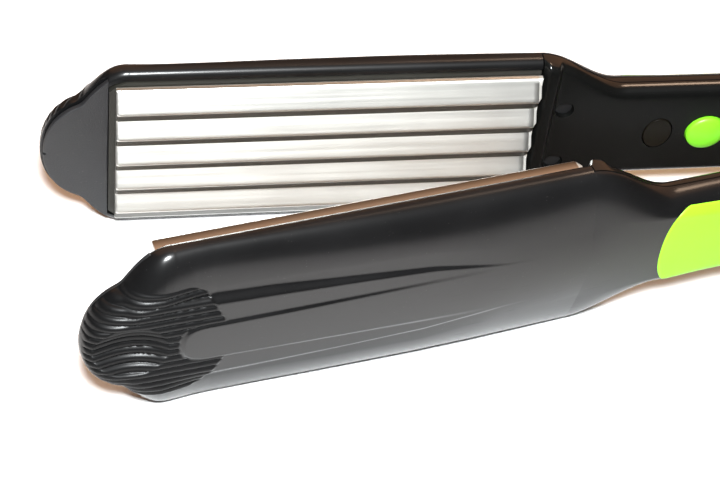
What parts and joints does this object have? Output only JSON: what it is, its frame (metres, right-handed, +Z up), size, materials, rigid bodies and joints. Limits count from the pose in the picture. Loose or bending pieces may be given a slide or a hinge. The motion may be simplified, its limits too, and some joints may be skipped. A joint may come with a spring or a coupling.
{
  "type": "hair crimper",
  "caption": "Handheld hair crimper with two hinged arms, interlocking ridged metal plates, a glossy dark housing, bright inlaid grips and a push button.",
  "frame": {"origin": "middle of the underside's bounding box, the crimper lying on its side and sprung open", "axes": "+X towards the hinge and cord inlet, -X towards the tips, +Y towards the arm with the button, +Z up along the hinge axis"},
  "size_m": [0.2852, 0.0738, 0.0516],
  "materials": {
    "gloss_black": "high gloss",
    "matt_charcoal": "fine matt",
    "silver_plate": "satin",
    "carrier_resin": "moulded",
    "lime_grip": "soft satin",
    "green_button": "gloss",
    "smoked_lens": "gloss",
    "heater_case": "matt",
    "spring_steel": "satin",
    "wire_sleeve": "matt",
    "board_laminate": "satin",
    "led_epoxy": "gloss",
    "gland_rubber": "matt"
  },
  "bodies": {
    "rear_arm": {"rear_outer_shell": "gloss_black", "rear_inner_cover": "gloss_black", "rear_tip_panel": "matt_charcoal", "rear_plate": "silver_plate", "rear_plate_carrier": "carrier_resin", "rear_heater": "heater_case", "rear_heater_clip": "spring_steel", "rear_grip_insert": "lime_grip", "rear_upper_lead": "wire_sleeve", "rear_lower_lead": "wire_sleeve", "rear_upper_screw": "spring_steel", "rear_lower_screw": "spring_steel", "indicator_lens": "smoked_lens", "indicator_led": "led_epoxy", "control_board": "board_laminate", "tact_switch": "matt_charcoal", "thermal_fuse": "spring_steel", "cord_gland": "gland_rubber", "opening_spring": "spring_steel"},
    "front_arm": {"front_outer_shell": "gloss_black", "front_inner_cover": "gloss_black", "front_tip_panel": "matt_charcoal", "front_plate": "silver_plate", "front_plate_carrier": "carrier_resin", "front_heater": "heater_case", "front_heater_clip": "spring_steel", "front_grip_insert": "lime_grip", "front_upper_lead": "wire_sleeve", "front_lower_lead": "wire_sleeve", "front_upper_screw": "spring_steel", "front_lower_screw": "spring_steel", "hinge_pin": "spring_steel", "upper_hinge_cap": "gloss_black", "lower_hinge_cap": "gloss_black"},
    "power_button": {"power_button": "green_button"}
  },
  "joints": [
    {"name": "arm_hinge", "type": "hinge", "parent": "rear_arm", "child": "front_arm", "pos_m": [0.12219, 0, 0.0258], "axis": [0, 0, -1], "range_deg": [0, 10.7], "stiffness_Nm_per_rad": 0.3, "springref_deg": -34.38, "deforming": ["opening_spring"]},
    {"name": "button_press", "type": "slide", "parent": "rear_arm", "child": "power_button", "axis": [0.0958, 0.9954, 0], "range_m": [0, 0.0008], "stiffness_N_per_m": 600, "springref_m": -0.0005}
  ]
}
